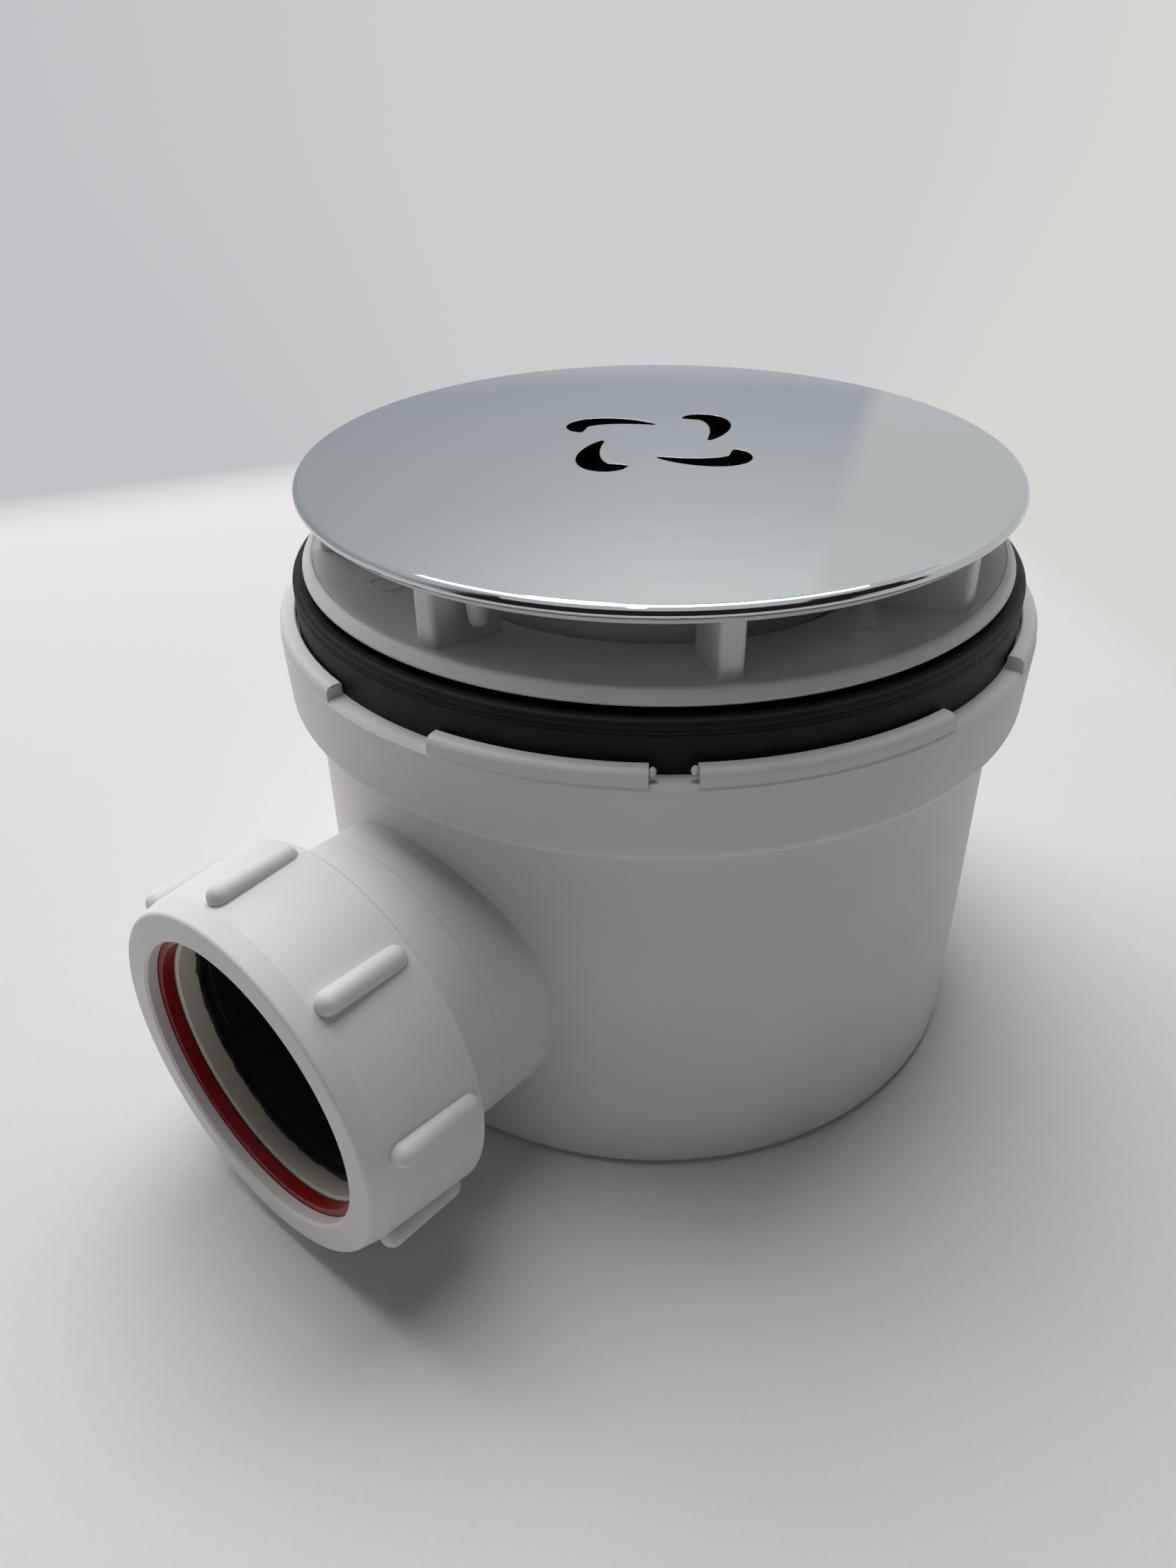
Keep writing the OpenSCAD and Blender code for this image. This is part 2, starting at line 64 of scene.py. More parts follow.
def add(tree, kind, inputs=None, **settings):
    """Adds one node with its settings; inputs maps a socket to a value or to another node's output."""
    node = tree.nodes.new(kind)
    for key, value in settings.items():
        setattr(node, key, value)
    for key, value in (inputs or {}).items():
        if isinstance(value, bpy.types.NodeSocket):
            tree.links.new(value, node.inputs[key])
        else:
            node.inputs[key].default_value = value
    return node


def start_material(name):
    """A new material that holds only its output, a shader and the piece's own coordinates."""
    material = bpy.data.materials.new(name)
    material.use_nodes = True
    tree = material.node_tree
    tree.nodes.clear()
    shader = add(tree, "ShaderNodeBsdfPrincipled")
    add(tree, "ShaderNodeOutputMaterial", {"Surface": shader.outputs["BSDF"]})
    place = add(tree, "ShaderNodeTexCoord").outputs["Object"]
    return material, tree, shader, place


def finish_piece(piece, material):
    """Gives a piece one material all over."""
    piece.data.materials.clear()
    piece.data.materials.append(material)


def rgba(colour):
    return (*colour[:3], 1.0)


def toned(tree, factor, first, second):
    """Mixes two colours, each a value or another node's output, by a factor."""
    mix = add(tree, "ShaderNodeMix", {0: factor}, data_type="RGBA")
    for number, colour in ((6, first), (7, second)):
        if isinstance(colour, bpy.types.NodeSocket):
            tree.links.new(colour, mix.inputs[number])
        else:
            mix.inputs[number].default_value = rgba(colour)
    return mix.outputs[2]


def moulded_plastic(name, colour, shade, roughness, grain_mm, grain_depth_mm, speck=0.0, edge_mm=0.16):
    """Injection moulded polypropylene or ABS: an even body colour that wanders a little as the
    wall's thickness does, a fine grain from the eroded tool, soft edges with a painted shade
    along them and in creases, and stray black specks."""
    material, tree, shader, place = start_material(name)
    wander = add(tree, "ShaderNodeTexNoise", {"Vector": place, "Scale": 1 / (22 * MM), "Detail": 2.0})
    flow = add(tree, "ShaderNodeMapRange", {0: wander.outputs["Fac"], 1: 0.35, 2: 0.65, 3: 0.0, 4: 1.0})
    body = toned(tree, flow.outputs[0], colour, shade)

    # Specks of burnt resin, one in a few 9 mm cells and about 0.15 mm across
    cell = 9 * MM
    scatter = add(tree, "ShaderNodeTexVoronoi", {"Vector": place, "Scale": 1 / cell})
    chance = add(tree, "ShaderNodeSeparateColor", {0: scatter.outputs["Color"]})
    small = add(tree, "ShaderNodeMath", {0: chance.outputs[0], 1: 0.13 * MM / cell}, operation="MULTIPLY")
    dot = add(tree, "ShaderNodeMath", {0: scatter.outputs["Distance"], 1: small.outputs[0]}, operation="LESS_THAN")
    some = add(tree, "ShaderNodeMath", {0: chance.outputs[1], 1: speck}, operation="LESS_THAN")
    both = add(tree, "ShaderNodeMath", {0: dot.outputs[0], 1: some.outputs[0]}, operation="MULTIPLY")
    body = toned(tree, both.outputs[0], body, linear("#3A3633"))

    # Painted shade: edges and creases, where the bevelled normal turns from the face's, are painted a little greyer
    # than the faces
    soft = add(tree, "ShaderNodeBevel", {"Radius": edge_mm * MM}, samples=6)
    face = add(tree, "ShaderNodeNewGeometry")
    turn = add(tree, "ShaderNodeVectorMath", {0: soft.outputs[0], 1: face.outputs["Normal"]}, operation="DOT_PRODUCT")
    edge_shade = add(tree, "ShaderNodeMapRange", {0: turn.outputs["Value"], 1: 0.995, 2: 0.85, 3: 0.0, 4: 0.22})
    body = toned(tree, edge_shade.outputs[0], body, tuple(0.62 * c for c in colour[:3]))
    tree.links.new(body, shader.inputs["Base Color"])

    # Grain of the tool, with a longer sink wave under it
    grain = add(tree, "ShaderNodeTexNoise", {"Vector": place, "Scale": 1 / (grain_mm * MM), "Detail": 3.0, "Roughness": 0.6})
    sink = add(tree, "ShaderNodeTexNoise", {"Vector": place, "Scale": 1 / (14 * MM), "Detail": 1.0})
    wave = add(tree, "ShaderNodeBump", {"Strength": 0.5, "Distance": 0.03 * MM, "Height": sink.outputs["Fac"], "Normal": soft.outputs[0]})
    bump = add(tree, "ShaderNodeBump", {"Strength": 1.0, "Distance": grain_depth_mm * MM, "Height": grain.outputs["Fac"], "Normal": wave.outputs[0]})
    tree.links.new(bump.outputs[0], shader.inputs["Normal"])
    gloss = add(tree, "ShaderNodeMapRange", {0: grain.outputs["Fac"], 1: 0.3, 2: 0.7, 3: roughness - 0.04, 4: roughness + 0.06})
    tree.links.new(gloss.outputs[0], shader.inputs["Roughness"])
    shader.inputs["IOR"].default_value = 1.49
    shader.inputs["Subsurface Weight"].default_value = 0.06
    shader.inputs["Subsurface Radius"].default_value = (1.2 * MM, 1.1 * MM, 1.0 * MM)
    shader.inputs["Subsurface Scale"].default_value = 1.0
    return material


def moulded_rubber(name, colour, dust, roughness):
    """Moulded EPDM: a deep green-black, a dull skin with a fine tooth, and settled dust."""
    material, tree, shader, place = start_material(name)
    bloom = add(tree, "ShaderNodeTexNoise", {"Vector": place, "Scale": 1 / (6 * MM), "Detail": 4.0})
    haze = add(tree, "ShaderNodeMapRange", {0: bloom.outputs["Fac"], 1: 0.45, 2: 0.75, 3: 0.0, 4: 0.10})
    body = toned(tree, haze.outputs[0], colour, dust)

    # Grains of dust about 0.1 mm across, a few to each 2 mm cell
    cell = 1.6 * MM
    scatter = add(tree, "ShaderNodeTexVoronoi", {"Vector": place, "Scale": 1 / cell})
    chance = add(tree, "ShaderNodeSeparateColor", {0: scatter.outputs["Color"]})
    small = add(tree, "ShaderNodeMath", {0: chance.outputs[0], 1: 0.07 * MM / cell}, operation="MULTIPLY")
    dot = add(tree, "ShaderNodeMath", {0: scatter.outputs["Distance"], 1: small.outputs[0]}, operation="LESS_THAN")
    some = add(tree, "ShaderNodeMath", {0: chance.outputs[1], 1: 0.45}, operation="LESS_THAN")
    both = add(tree, "ShaderNodeMath", {0: dot.outputs[0], 1: some.outputs[0]}, operation="MULTIPLY")
    body = toned(tree, both.outputs[0], body, tuple(min(1.0, 5 * c) for c in dust[:3]))
    tree.links.new(body, shader.inputs["Base Color"])

    soft = add(tree, "ShaderNodeBevel", {"Radius": 0.2 * MM}, samples=6)
    tooth = add(tree, "ShaderNodeTexNoise", {"Vector": place, "Scale": 1 / (0.35 * MM), "Detail": 3.0})
    bump = add(tree, "ShaderNodeBump", {"Strength": 1.0, "Distance": 0.02 * MM, "Height": tooth.outputs["Fac"], "Normal": soft.outputs[0]})
    tree.links.new(bump.outputs[0], shader.inputs["Normal"])
    gloss = add(tree, "ShaderNodeMapRange", {0: tooth.outputs["Fac"], 1: 0.3, 2: 0.7, 3: roughness - 0.06, 4: roughness + 0.08})
    tree.links.new(gloss.outputs[0], shader.inputs["Roughness"])
    shader.inputs["IOR"].default_value = 1.52
    shader.inputs["Specular IOR Level"].default_value = 0.22
    return material


def bright_chrome(name, colour):
    """Bright chrome plate over polished sheet: a cool dark mirror, a trace of the press's
    waviness, and a thin haze of handling marks that only shows as softer reflections."""
    material, tree, shader, place = start_material(name)
    shader.inputs["Metallic"].default_value = 1.0
    shader.inputs["Base Color"].default_value = rgba(colour)
    haze = add(tree, "ShaderNodeTexNoise", {"Vector": place, "Scale": 1 / (9 * MM), "Detail": 5.0, "Roughness": 0.6})
    gloss = add(tree, "ShaderNodeMapRange", {0: haze.outputs["Fac"], 1: 0.4, 2: 0.75, 3: 0.035, 4: 0.075})
    tree.links.new(gloss.outputs[0], shader.inputs["Roughness"])
    soft = add(tree, "ShaderNodeBevel", {"Radius": 0.15 * MM}, samples=6)
    press = add(tree, "ShaderNodeTexNoise", {"Vector": place, "Scale": 1 / (26 * MM), "Detail": 1.0})
    bump = add(tree, "ShaderNodeBump", {"Strength": 1.0, "Distance": 0.004 * MM, "Height": press.outputs["Fac"], "Normal": soft.outputs[0]})
    tree.links.new(bump.outputs[0], shader.inputs["Normal"])
    return material


# Sizes and colours that a user may change

class WasteFinishes(bpy.types.PropertyGroup):
    """Colours and roughness of the waste's materials."""
    white: bpy.props.FloatVectorProperty(name="White plastic", description="Colour of the pot, ring and nut", subtype="COLOR", min=0, max=1, default=linear("#DAD7D6"))
    white_shade: bpy.props.FloatVectorProperty(name="White plastic, shade", description="Colour that the white plastic wanders to", subtype="COLOR", min=0, max=1, default=linear("#D3D1D1"))
    flange: bpy.props.FloatVectorProperty(name="Flange", description="Colour of the flange and the parts inside", subtype="COLOR", min=0, max=1, default=linear("#DEDDDE"))
    rubber: bpy.props.FloatVectorProperty(name="Rubber", description="Colour of the gaskets", subtype="COLOR", min=0, max=1, default=linear("#090F12"))
    dust: bpy.props.FloatVectorProperty(name="Dust", description="Colour of the dust on the rubber", subtype="COLOR", min=0, max=1, default=linear("#3C4444"))
    chrome: bpy.props.FloatVectorProperty(name="Chrome", description="Colour of the chrome plate", subtype="COLOR", min=0, max=1, default=linear("#C0C3C5"))
    red: bpy.props.FloatVectorProperty(name="Slip washer", description="Colour of the slip washer", subtype="COLOR", min=0, max=1, default=linear("#8E1418"))
    cream: bpy.props.FloatVectorProperty(name="Pressure ring", description="Colour of the pressure ring", subtype="COLOR", min=0, max=1, default=linear("#D2CDBC"))
    plastic_roughness: bpy.props.FloatProperty(name="Plastic roughness", description="Roughness of the white mouldings", subtype="FACTOR", min=0.1, max=0.9, default=0.42)


class WasteStudio(bpy.types.PropertyGroup):
    """Colours and lamps of the studio."""
    floor: bpy.props.FloatVectorProperty(name="Floor", description="Colour of the floor", subtype="COLOR", min=0, max=1, default=linear("#E7E6E6"))
    far: bpy.props.FloatVectorProperty(name="Backdrop", description="Colour of the backdrop behind the floor", subtype="COLOR", min=0, max=1, default=linear("#CDCED0"))
    front: bpy.props.FloatVectorProperty(name="Front", description="Colour that gloss mirrors from the camera's side", subtype="COLOR", min=0, max=1, default=linear("#2B2624"))
    key_power: bpy.props.FloatProperty(name="Key lamp", description="Power of the large lamp behind and above", unit="POWER", min=0, max=100, default=13.2)
    key_size: bpy.props.FloatProperty(name="Key size", description="Side of the large lamp", unit="LENGTH", min=0.1, max=4, default=0.95)
    fill_power: bpy.props.FloatProperty(name="Fill lamp", description="Power of the lamp on the left", unit="POWER", min=0, max=100, default=3.6)
    front_power: bpy.props.FloatProperty(name="Front lamp", description="Power of the weak lamp before the outlet", unit="POWER", min=0, max=100, default=0.5)
    world: bpy.props.FloatProperty(name="World", description="Strength of the even light from the world", min=0, max=2, default=0.07)


# Finishes

class WasteWhiteMouldings(bpy.types.Operator):
    """Finishes the pot, its outlet, the weir cup, the top ring and the nut in white polypropylene"""
    bl_idname = "waste.white_mouldings"
    bl_label = "White mouldings"

    def execute(self, context):
        f = context.scene.waste_finishes
        pot = moulded_plastic("white polypropylene, satin moulded", f.white, f.white_shade,
                              f.plastic_roughness, 0.5, 0.006, speck=0.10)
        for name in ("trap_pot", "outlet_spigot", "weir_cup"):
            finish_piece(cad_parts[name], pot)
        ring = moulded_plastic("white polypropylene, fine eroded grain", f.white, f.white_shade,
                               f.plastic_roughness + 0.08, 0.35, 0.016, speck=0.12)
        finish_piece(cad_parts["top_ring"], ring)
        nut = moulded_plastic("white polypropylene, matt eroded grain", f.white, f.white_shade,
                              f.plastic_roughness + 0.1, 0.35, 0.02, speck=0.16, edge_mm=0.12)
        finish_piece(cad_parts["outlet_nut"], nut)
        return {"FINISHED"}


class WasteFlangeParts(bpy.types.Operator):
    """Finishes the flange, the dip tube and the cover's carrier in satin ABS"""
    bl_idname = "waste.flange_parts"
    bl_label = "Flange and inner parts"

    def execute(self, context):
        f = context.scene.waste_finishes
        flange = moulded_plastic("white ABS, satin moulded", f.flange, f.white_shade,
                                 0.36, 0.5, 0.005, speck=0.08)
        finish_piece(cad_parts["flange"], flange)
        inner = moulded_plastic("white ABS, satin moulded", f.flange, f.white_shade, 0.36, 0.5, 0.005, speck=0.05)
        for name in ("dip_tube", "cover_carrier"):
            finish_piece(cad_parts[name], inner)
        return {"FINISHED"}


class WastePinMarks(bpy.types.Operator):
    """Adds the fine raised rings that the ejector pins leave on the flange between its vanes"""
    bl_idname = "waste.pin_marks"
    bl_label = "Pin marks"

    def execute(self, context):
        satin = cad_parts["flange"].data.materials[0]
        for number, turn in enumerate(PIN_TURNS):
            turn = math.radians(turn)
            bpy.ops.object.select_all(action="DESELECT")
            bpy.ops.mesh.primitive_torus_add(major_segments=40, minor_segments=8, major_radius=2.3 * MM, minor_radius=0.13 * MM,
                                             location=(PIN_OUT * math.cos(turn), PIN_OUT * math.sin(turn), PIN_Z),
                                             rotation=(0, -math.radians(9.7), turn))
            piece = context.object
            piece.name = f"pin_mark_{number + 1}"
            bpy.ops.object.transform_apply(location=True, rotation=True, scale=True)
            bpy.ops.object.mode_set(mode="EDIT")
            bpy.ops.mesh.select_all(action="SELECT")
            bpy.ops.transform.vertex_random(offset=0.02 * MM, seed=number)
            bpy.ops.mesh.normals_make_consistent(inside=False)
            bpy.ops.object.mode_set(mode="OBJECT")
            bpy.ops.object.shade_smooth()
            finish_piece(piece, satin)
            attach(piece, "flange")
        return {"FINISHED"}


class WasteRubber(bpy.types.Operator):
    """Finishes the gaskets, the seal and the O-ring in moulded EPDM rubber"""
    bl_idname = "waste.rubber"
    bl_label = "Rubber"

    def execute(self, context):
        f = context.scene.waste_finishes
        rubber = moulded_rubber("EPDM rubber, moulded", f.rubber, f.dust, 0.58)
        for name in ("tray_gasket", "flange_washer", "dip_tube_o_ring", "outlet_seal"):
            finish_piece(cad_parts[name], rubber)
        return {"FINISHED"}


class WasteSealEdge(bpy.types.Operator):
    """Adds the ragged rubber flash round the seal's mouth and the ridge that it leaves in the bore"""
    bl_idname = "waste.seal_edge"
    bl_label = "Ragged seal edge"

    def execute(self, context):
        f = context.scene.waste_finishes
        torn = moulded_rubber("EPDM rubber, torn and dusty", linear("#1A1B1D"), linear("#77756F"), 0.7)
        for name, at_mm, round_mm, thick_mm, tear_mm, seed in (
                ("seal_flash", 84.15, 21.56, 0.22, 0.20, 3), ("seal_ridge", 82.3, 21.62, 0.14, 0.10, 7)):
            bpy.ops.object.select_all(action="DESELECT")
            bpy.ops.mesh.primitive_torus_add(major_segments=96, minor_segments=6, major_radius=round_mm * MM, minor_radius=thick_mm * MM,
                                             location=(at_mm * MM, 0, OUTLET_Z), rotation=(0, math.pi / 2, 0))
            piece = context.object
            piece.name = name
            bpy.ops.object.transform_apply(location=True, rotation=True, scale=True)
            bpy.ops.object.mode_set(mode="EDIT")
            bpy.ops.mesh.select_all(action="SELECT")
            bpy.ops.transform.vertex_random(offset=tear_mm * MM, seed=seed)
            bpy.ops.transform.resize(value=(1.7, 1, 1))
            bpy.ops.mesh.subdivide(number_cuts=1, smoothness=0.6)
            bpy.ops.transform.vertex_random(offset=0.3 * tear_mm * MM, seed=seed + 1)
            bpy.ops.mesh.normals_make_consistent(inside=False)
            bpy.ops.object.mode_set(mode="OBJECT")
            bpy.ops.object.shade_smooth()
            finish_piece(piece, torn)
            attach(piece, "trap")
        return {"FINISHED"}


class WasteTornTabs(bpy.types.Operator):
    """Adds the two torn crumbs of flash on the tab ends beside the narrow gap that shows"""
    bl_idname = "waste.torn_tabs"
    bl_label = "Torn tab ends"

    def execute(self, context):
        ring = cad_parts["top_ring"].data.materials[0]
        for number, (turn, up_mm) in enumerate(((38.75, 78.7), (43.8, 78.9))):
            turn = math.radians(turn)
            bpy.ops.object.select_all(action="DESELECT")
            bpy.ops.mesh.primitive_ico_sphere_add(subdivisions=3, radius=0.62 * MM,
                                                  location=(60.5 * MM * math.cos(turn), 60.5 * MM * math.sin(turn), up_mm * MM))
            piece = context.object
            piece.name = f"torn_tab_{number + 1}"
            bpy.ops.object.transform_apply(location=True, rotation=True, scale=True)
            bpy.ops.object.mode_set(mode="EDIT")
            bpy.ops.mesh.select_all(action="SELECT")
            bpy.ops.transform.resize(value=(0.9, 0.8, 1.1))
            bpy.ops.transform.vertex_random(offset=0.10 * MM, seed=11 + number)
            bpy.ops.mesh.vertices_smooth(factor=0.5)
            bpy.ops.mesh.normals_make_consistent(inside=False)
            bpy.ops.object.mode_set(mode="OBJECT")
            bpy.ops.object.shade_smooth()
            finish_piece(piece, ring)
            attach(piece, "trap")
        return {"FINISHED"}


class WasteOutletRings(bpy.types.Operator):
    """Finishes the red slip washer and the cream pressure ring"""
    bl_idname = "waste.outlet_rings"
    bl_label = "Outlet rings"

    def execute(self, context):
        f = context.scene.waste_finishes
        red = moulded_plastic("red polypropylene, gloss moulded", f.red, tuple(0.9 * c for c in f.red), 0.3, 0.6, 0.004)
        finish_piece(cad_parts["slip_washer"], red)
        cream = moulded_plastic("natural polyethylene, moulded", f.cream, tuple(0.94 * c for c in f.cream), 0.45, 0.6, 0.006)
        finish_piece(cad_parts["pressure_ring"], cream)
        return {"FINISHED"}


class WasteCover(bpy.types.Operator):
    """Finishes the domed cover in bright chrome plate"""
    bl_idname = "waste.cover"
    bl_label = "Chrome cover"

    def execute(self, context):
        chrome = bright_chrome("chrome plate, polished", context.scene.waste_finishes.chrome)
        finish_piece(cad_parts["cover_cap"], chrome)
        return {"FINISHED"}


# Studio

CAMERA_AT = Vector((0.14498, 0.11491, 0.1593))
CAMERA_SIDE = math.radians(38.4)
WALL_BACK = math.radians(243.2)
WALL_RIGHT = math.radians(140.6)


def aim(obj, at, target):
    """Puts a lamp at a place and turns it to a target."""
    obj.location = at
    obj.rotation_euler = (Vector(target) - Vector(at)).to_track_quat("-Z", "Y").to_euler()


def studio_surface(name, floor, far, front):
    """Matt painted board: diffuse under the waste, and beyond it the plain tone that the camera
    and the chrome see, lighter upwards and dark only on the camera's own side."""
    material = bpy.data.materials.new(name)
    material.use_nodes = True
    tree = material.node_tree
    tree.nodes.clear()
    place = add(tree, "ShaderNodeTexCoord").outputs["Object"]
    split = add(tree, "ShaderNodeSeparateXYZ", {0: place})
    flat = add(tree, "ShaderNodeCombineXYZ", {0: split.outputs[0], 1: split.outputs[1]})
    away = add(tree, "ShaderNodeVectorMath", {0: flat.outputs[0]}, operation="LENGTH")
    grain = add(tree, "ShaderNodeTexNoise", {"Vector": place, "Scale": 1 / (1.2 * MM), "Detail": 4.0})
    fleck = add(tree, "ShaderNodeMapRange", {0: grain.outputs["Fac"], 1: 0.3, 2: 0.7, 3: 0.0, 4: 0.05})
    paint = toned(tree, fleck.outputs[0], floor, tuple(0.6 * c for c in floor[:3]))
    rays = add(tree, "ShaderNodeLightPath")
    glossy = rays.outputs["Is Glossy Ray"]
    side = add(tree, "ShaderNodeVectorMath", {0: flat.outputs[0], 1: (-math.sin(CAMERA_SIDE), math.cos(CAMERA_SIDE), 0.0)}, operation="DOT_PRODUCT")
    ahead = add(tree, "ShaderNodeVectorMath", {0: flat.outputs[0], 1: (math.cos(CAMERA_SIDE), math.sin(CAMERA_SIDE), 0.0)}, operation="DOT_PRODUCT")

    # Painted shade on the board round the camera, seen only by the light that it bounces: little light comes back from
    # the dark open side there
    shaded = add(tree, "ShaderNodeMapRange", {0: ahead.outputs["Value"], 1: 0.20, 2: 0.36, 3: 0.0, 4: 1.0})
    shaded = add(tree, "ShaderNodeMath", {0: shaded.outputs[0], 1: rays.outputs["Is Diffuse Ray"]}, operation="MULTIPLY")
    paint = toned(tree, shaded.outputs[0], paint, tuple(0.35 * c for c in floor[:3]))
    diffuse = add(tree, "ShaderNodeBsdfDiffuse", {"Color": paint, "Roughness": 0.6})

    # Tone of the board: bright floor up to the foot of a wall behind and one on the right, each tone
    # turning lighter from the picture's left to its right, and up to white overhead
    level = add(tree, "ShaderNodeMapRange", {0: side.outputs["Value"], 1: -0.35, 2: 0.35, 3: 0.0, 4: 1.0})
    ground = toned(tree, level.outputs[0], linear("#E1E1E0"), linear("#CFCFCE"))
    bearing = add(tree, "ShaderNodeMath", {0: side.outputs["Value"], 1: away.outputs["Value"]}, operation="DIVIDE")
    left = add(tree, "ShaderNodeMapRange", {0: bearing.outputs[0], 1: -0.5, 2: -0.1, 3: 1.0, 4: 0.0})
    right = add(tree, "ShaderNodeMapRange", {0: bearing.outputs[0], 1: 0.20, 2: 0.36, 3: 0.0, 4: 1.0})
    walls = toned(tree, left.outputs[0], far, linear("#C1C2C5"))
    walls = toned(tree, right.outputs[0], walls, linear("#D6D6D2"))
    walled = None
    for turn, near_m, far_m in ((WALL_BACK, 0.285, 0.335), (WALL_RIGHT, 0.155, 0.175)):
        out = add(tree, "ShaderNodeVectorMath", {0: flat.outputs[0], 1: (math.cos(turn), math.sin(turn), 0.0)}, operation="DOT_PRODUCT")
        past = add(tree, "ShaderNodeMapRange", {0: out.outputs["Value"], 1: near_m, 2: far_m, 3: 0.0, 4: 1.0})
        walled = past if walled is None else add(tree, "ShaderNodeMath", {0: walled.outputs[0], 1: past.outputs[0]}, operation="MAXIMUM")
    fade = add(tree, "ShaderNodeMapRange", {0: ahead.outputs["Value"], 1: -0.12, 2: 0.15, 3: 1.0, 4: 0.0}, interpolation_type="SMOOTHSTEP")
    walled = add(tree, "ShaderNodeMath", {0: walled.outputs[0], 1: fade.outputs[0]}, operation="MULTIPLY")
    board = toned(tree, walled.outputs[0], ground, walls)
    height = split.outputs[2]
    for foot, top, tone in ((0.17, 0.40, "#B4BCC6"), (0.40, 1.00, "#D9DEDF"), (1.00, 1.45, "#FAFCFC")):
        rise = add(tree, "ShaderNodeMapRange", {0: height, 1: foot, 2: top, 3: 0.0, 4: 1.0})
        board = toned(tree, rise.outputs[0], board, linear(tone))

    # What gloss mirrors besides: a darker board on the left, a lighter one on the right, and the open side
    left = add(tree, "ShaderNodeMapRange", {0: side.outputs["Value"], 1: -0.9, 2: 0.0, 3: 0.5, 4: 0.0})
    left = add(tree, "ShaderNodeMath", {0: left.outputs[0], 1: glossy}, operation="MULTIPLY")
    board = toned(tree, left.outputs[0], board, tuple(0.6 * c for c in far[:3]))
    right = add(tree, "ShaderNodeMapRange", {0: side.outputs["Value"], 1: 0.40, 2: 0.44, 3: 0.0, 4: 0.6})
    right = add(tree, "ShaderNodeMath", {0: right.outputs[0], 1: glossy}, operation="MULTIPLY")
    board = toned(tree, right.outputs[0], board, linear("#E6E5E2"))
    near = add(tree, "ShaderNodeMapRange", {0: ahead.outputs["Value"], 1: 0.20, 2: 0.30, 3: 0.0, 4: 1.0})
    open_side = add(tree, "ShaderNodeMapRange", {0: side.outputs["Value"], 1: -1.9, 2: -1.6, 3: 0.0, 4: 1.0})
    dark = near
    for part in (open_side.outputs[0], glossy):
        dark = add(tree, "ShaderNodeMath", {0: dark.outputs[0], 1: part}, operation="MULTIPLY")
    board = toned(tree, dark.outputs[0], board, front)
    glow = add(tree, "ShaderNodeEmission", {"Color": board, "Strength": 1.0})

    seen = add(tree, "ShaderNodeMath", {0: rays.outputs["Is Camera Ray"], 1: rays.outputs["Is Glossy Ray"]}, operation="MAXIMUM")
    seen = add(tree, "ShaderNodeMath", {0: seen.outputs[0], 1: rays.outputs["Is Transmission Ray"]}, operation="MAXIMUM")
    beyond = add(tree, "ShaderNodeMapRange", {0: away.outputs["Value"], 1: 0.28, 2: 0.62, 3: 0.0, 4: 1.0}, interpolation_type="SMOOTHSTEP")
    beyond = add(tree, "ShaderNodeMath", {0: beyond.outputs[0], 1: walled.outputs[0]}, operation="MAXIMUM")
    share = add(tree, "ShaderNodeMath", {0: seen.outputs[0], 1: beyond.outputs[0]}, operation="MULTIPLY")
    share = add(tree, "ShaderNodeMath", {0: share.outputs[0], 1: dark.outputs[0]}, operation="MAXIMUM")
    mix = add(tree, "ShaderNodeMixShader", {0: share.outputs[0], 1: diffuse.outputs[0], 2: glow.outputs[0]})
    add(tree, "ShaderNodeOutputMaterial", {"Surface": mix.outputs[0]})
    return material


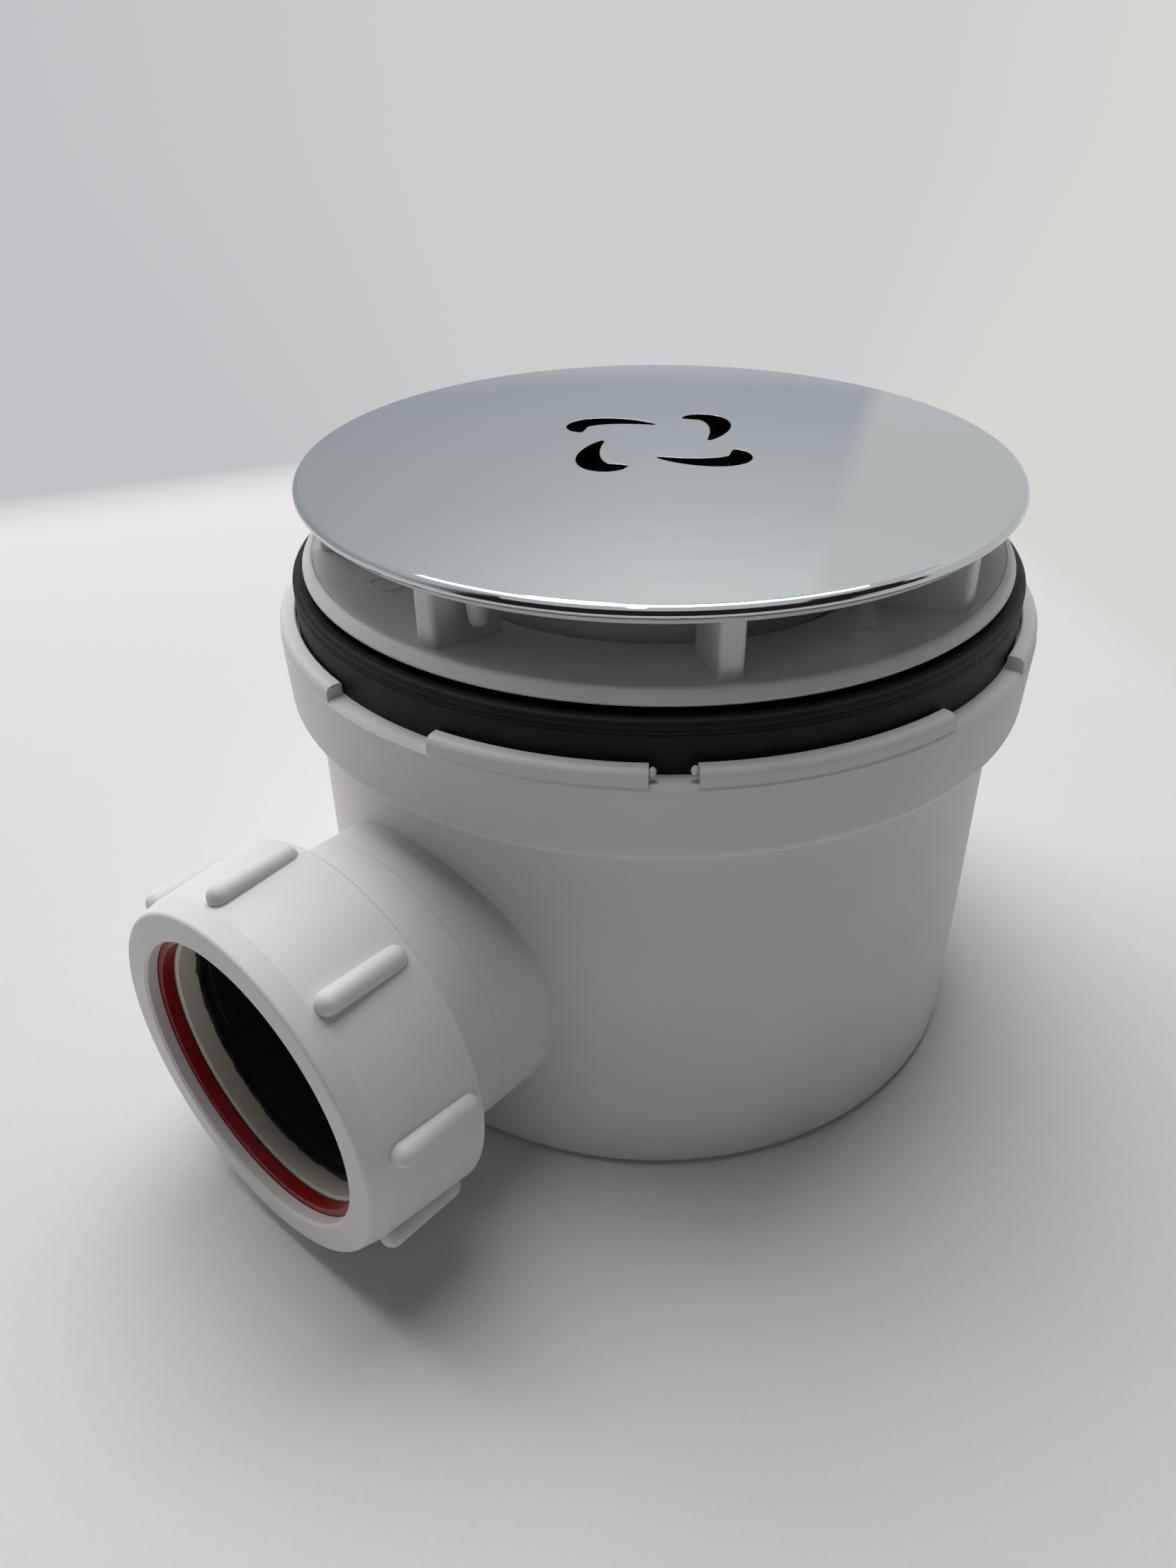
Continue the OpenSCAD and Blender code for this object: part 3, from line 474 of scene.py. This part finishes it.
class WasteStage(bpy.types.Operator):
    """Makes the camera at the photograph's angle, the pale floor that curves up all round, and the lamps"""
    bl_idname = "waste.stage"
    bl_label = "Studio"

    def execute(self, context):
        s = context.scene.waste_studio
        camera = bpy.data.cameras.new("camera")
        camera.lens, camera.sensor_width, camera.sensor_fit = 27.03, 36.0, "AUTO"
        camera.clip_start, camera.clip_end = 0.01, 20.0
        view = bpy.data.objects.new("camera", camera)
        context.collection.objects.link(view)
        turn = (Matrix.Rotation(math.radians(128.4 + 3.58), 4, "Z") @ Matrix.Rotation(math.radians(-33.52), 4, "X")
                @ Matrix.Rotation(math.radians(0.87), 4, "Y") @ Matrix.Rotation(math.radians(90), 4, "X"))
        view.matrix_world = Matrix.Translation(CAMERA_AT) @ turn
        context.scene.camera = view

        # Floor: a disc whose rim is drawn out and up in steps, so that it curves into the backdrop
        bpy.ops.object.select_all(action="DESELECT")
        bpy.ops.mesh.primitive_circle_add(vertices=128, radius=1.5, fill_type="NGON", location=(0, 0, 0))
        floor = context.object
        floor.name = "studio_floor"
        bpy.ops.object.mode_set(mode="EDIT")
        bpy.ops.mesh.select_mode(type="EDGE")
        bpy.ops.mesh.select_all(action="DESELECT")
        bpy.ops.mesh.select_non_manifold(extend=False)
        cove, radius, steps = 0.5, 1.5, 10
        for k in range(steps):
            low, high = math.pi / 2 * k / steps, math.pi / 2 * (k + 1) / steps
            rise = cove * (math.cos(low) - math.cos(high))
            grown = radius + cove * (math.sin(high) - math.sin(low))
            bpy.ops.mesh.extrude_edges_move(TRANSFORM_OT_translate={"value": (0, 0, rise)})
            bpy.ops.transform.resize(value=(grown / radius, grown / radius, 1))
            radius = grown
        bpy.ops.mesh.extrude_edges_move(TRANSFORM_OT_translate={"value": (0, 0, 1.3)})
        bpy.ops.object.mode_set(mode="OBJECT")
        bpy.ops.object.shade_smooth_by_angle(angle=math.radians(40))
        finish_piece(floor, studio_surface("matt board", s.floor, s.far, s.front))

        back = Vector((-math.cos(CAMERA_SIDE), -math.sin(CAMERA_SIDE), 0))
        right = Vector((-math.sin(CAMERA_SIDE), math.cos(CAMERA_SIDE), 0))
        for name, power, size, at in (
                ("key", s.key_power, s.key_size, back * 0.38 - right * 0.12 + Vector((0, 0, 1.05))),
                ("left", s.fill_power, 0.7, Vector((0.05, -0.92, 0.38))),
                ("front", s.front_power, 0.7, Vector((0.89, 0.15, 0.30)))):
            lamp = bpy.data.lights.new(name, "AREA")
            lamp.energy, lamp.size = power, size
            holder = bpy.data.objects.new(name, lamp)
            context.collection.objects.link(holder)
            aim(holder, at, (at.x, at.y, 0) if name == "key" else (0, 0, 0.05))
            holder.visible_camera, holder.visible_glossy = False, name == "key"

        world = bpy.data.worlds.new("studio")
        world.use_nodes = True
        sky = world.node_tree.nodes["Background"]
        sky.inputs["Color"].default_value = rgba(linear("#F2F4F7"))
        # The even light is weak, and gloss sees the pale ceiling that it comes from
        rays = add(world.node_tree, "ShaderNodeLightPath")
        strength = add(world.node_tree, "ShaderNodeMapRange", {0: rays.outputs["Is Glossy Ray"], 1: 0.0, 2: 1.0, 3: s.world, 4: 0.75})
        world.node_tree.links.new(strength.outputs[0], sky.inputs["Strength"])
        context.scene.world = world
        context.scene.view_settings.view_transform = "Standard"
        return {"FINISHED"}


# Panel

STEPS = ("stage", "white_mouldings", "flange_parts", "pin_marks", "rubber", "seal_edge", "torn_tabs", "outlet_rings", "cover")


class WastePanel(bpy.types.Panel):
    """Lists the steps that dress the waste, with the colours and lamps they use"""
    bl_idname = "VIEW3D_PT_waste"
    bl_label = "Shower waste"
    bl_space_type = "VIEW_3D"
    bl_region_type = "UI"
    bl_category = "Shower waste"

    def draw(self, context):
        for step in STEPS:
            self.layout.operator("waste." + step)
        for group in (context.scene.waste_finishes, context.scene.waste_studio):
            box = self.layout.box()
            for name in group.__annotations__:
                box.prop(group, name)


CLASSES = (WasteFinishes, WasteStudio, WasteStage, WasteWhiteMouldings, WasteFlangeParts, WastePinMarks, WasteRubber,
           WasteSealEdge, WasteTornTabs, WasteOutletRings, WasteCover, WastePanel)


def register():
    for cls in CLASSES:
        bpy.utils.register_class(cls)
    bpy.types.Scene.waste_finishes = bpy.props.PointerProperty(type=WasteFinishes)
    bpy.types.Scene.waste_studio = bpy.props.PointerProperty(type=WasteStudio)


def unregister():
    del bpy.types.Scene.waste_studio
    del bpy.types.Scene.waste_finishes
    for cls in reversed(CLASSES):
        bpy.utils.unregister_class(cls)


def main():
    register()
    for step in STEPS:
        getattr(bpy.ops.waste, step)()


if __name__ == "__main__":
    main()
